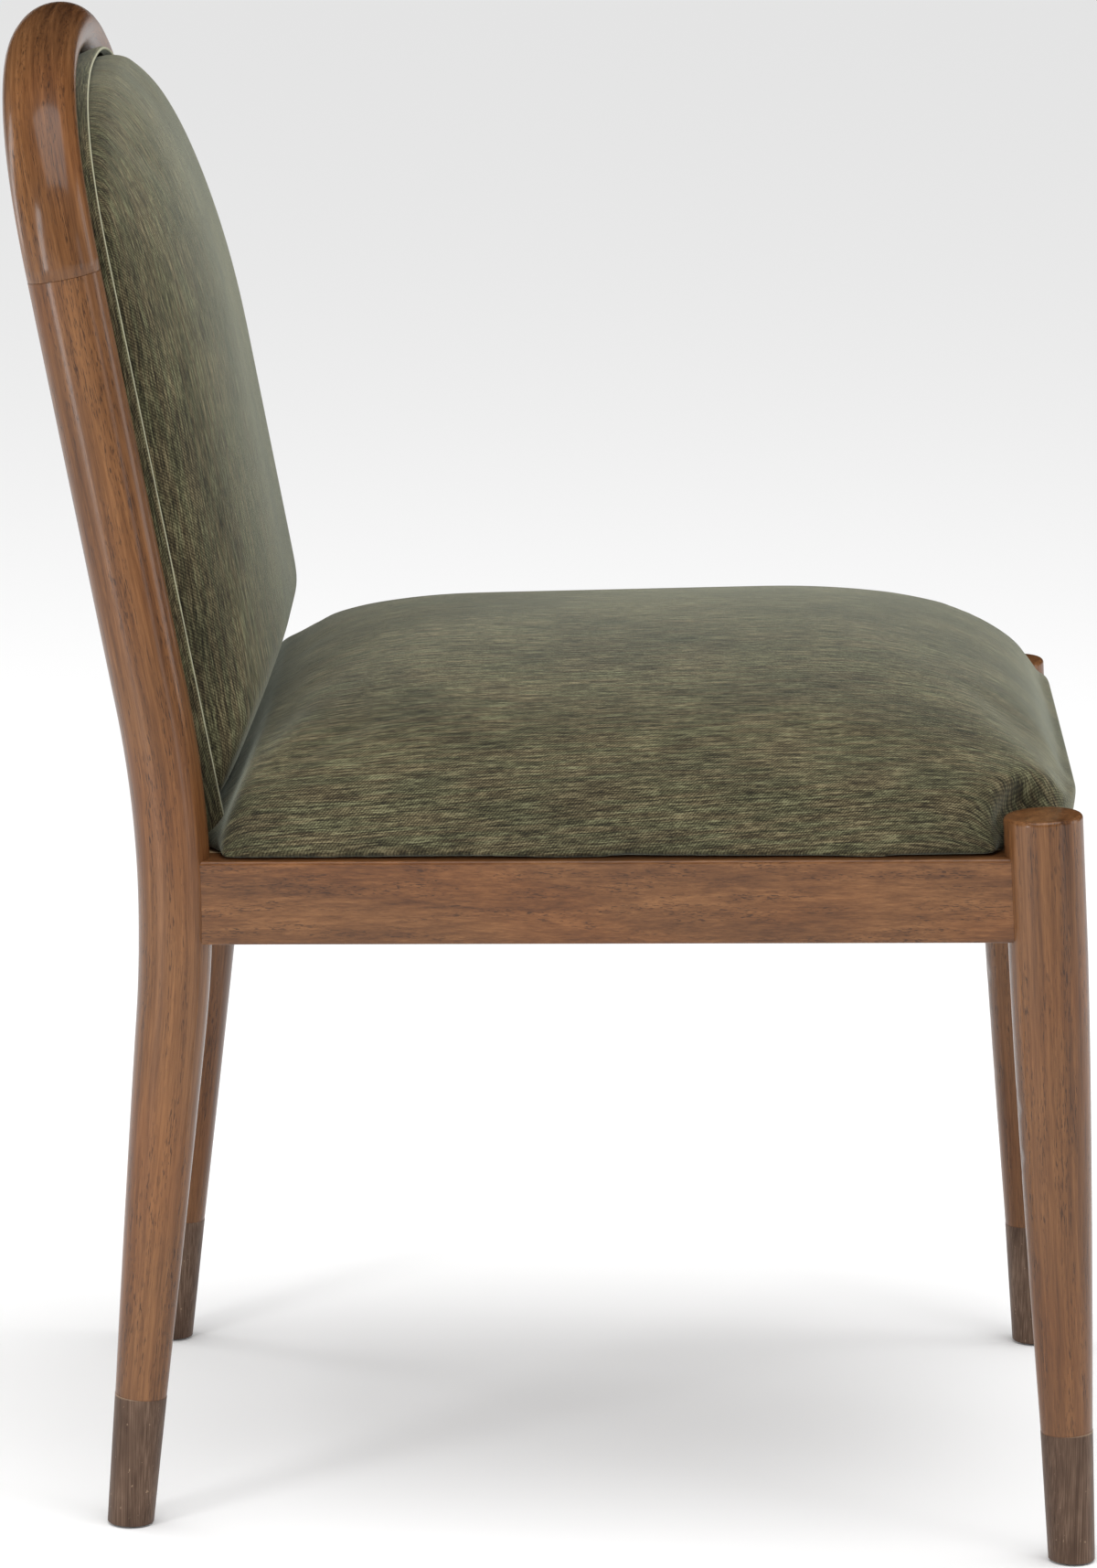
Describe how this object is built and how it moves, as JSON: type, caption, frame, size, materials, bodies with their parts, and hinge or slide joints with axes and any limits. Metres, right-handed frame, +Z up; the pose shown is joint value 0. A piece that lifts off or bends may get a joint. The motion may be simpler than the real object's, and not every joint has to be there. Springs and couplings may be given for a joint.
{
  "type": "dining chair",
  "caption": "Armless dining chair with round tapered wooden legs in metal ferrules, a thick crowned fabric seat and a padded back inside a bent wooden arch.",
  "frame": {"origin": "on the floor, in the middle of the chair's footprint", "axes": "+Z up, -Y towards the front of the chair, +X towards the sitter's left"},
  "size_m": [0.486, 0.6298, 0.8363],
  "materials": {
    "walnut_stained_wood": "satin lacquer over a walnut stain, grain along each piece",
    "raw_wood": "unfinished hardwood",
    "plywood": "unfinished plywood",
    "olive_fabric": "slubby woven chenille, soft sheen",
    "foam": "open-cell foam",
    "dust_cloth": "thin non-woven cloth",
    "bronze_ferrule": "dark antique bronze, faint vertical brushing, light wear at the edges",
    "black_nylon": "matte moulded nylon",
    "zinc_screw": "zinc plated"
  },
  "bodies": {
    "root": {"arch_dowels": "raw_wood", "back_board": "plywood", "back_cover": "olive_fabric", "back_fixing_screws": "zinc_screw", "back_foam": "foam", "back_outside_cover": "olive_fabric", "corner_block_front_left": "raw_wood", "corner_block_front_right": "raw_wood", "corner_block_rear_left": "raw_wood", "corner_block_rear_right": "raw_wood", "corner_block_screws": "zinc_screw", "crest_arch": "walnut_stained_wood", "cross_rail_dowels": "raw_wood", "dust_cover": "dust_cloth", "ferrule_front_left": "bronze_ferrule", "ferrule_front_right": "bronze_ferrule", "ferrule_rear_left": "bronze_ferrule", "ferrule_rear_right": "bronze_ferrule", "front_leg_left": "walnut_stained_wood", "front_leg_right": "walnut_stained_wood", "front_rail": "walnut_stained_wood", "glide_front_left": "black_nylon", "glide_front_right": "black_nylon", "glide_nails": "zinc_screw", "glide_rear_left": "black_nylon", "glide_rear_right": "black_nylon", "rear_post_left": "walnut_stained_wood", "rear_post_right": "walnut_stained_wood", "rear_rail": "walnut_stained_wood", "seat_board": "plywood", "seat_cover": "olive_fabric", "seat_fixing_screws": "zinc_screw", "seat_foam": "foam", "side_rail_dowels": "raw_wood", "side_rail_left": "walnut_stained_wood", "side_rail_right": "walnut_stained_wood"}
  },
  "joints": []
}
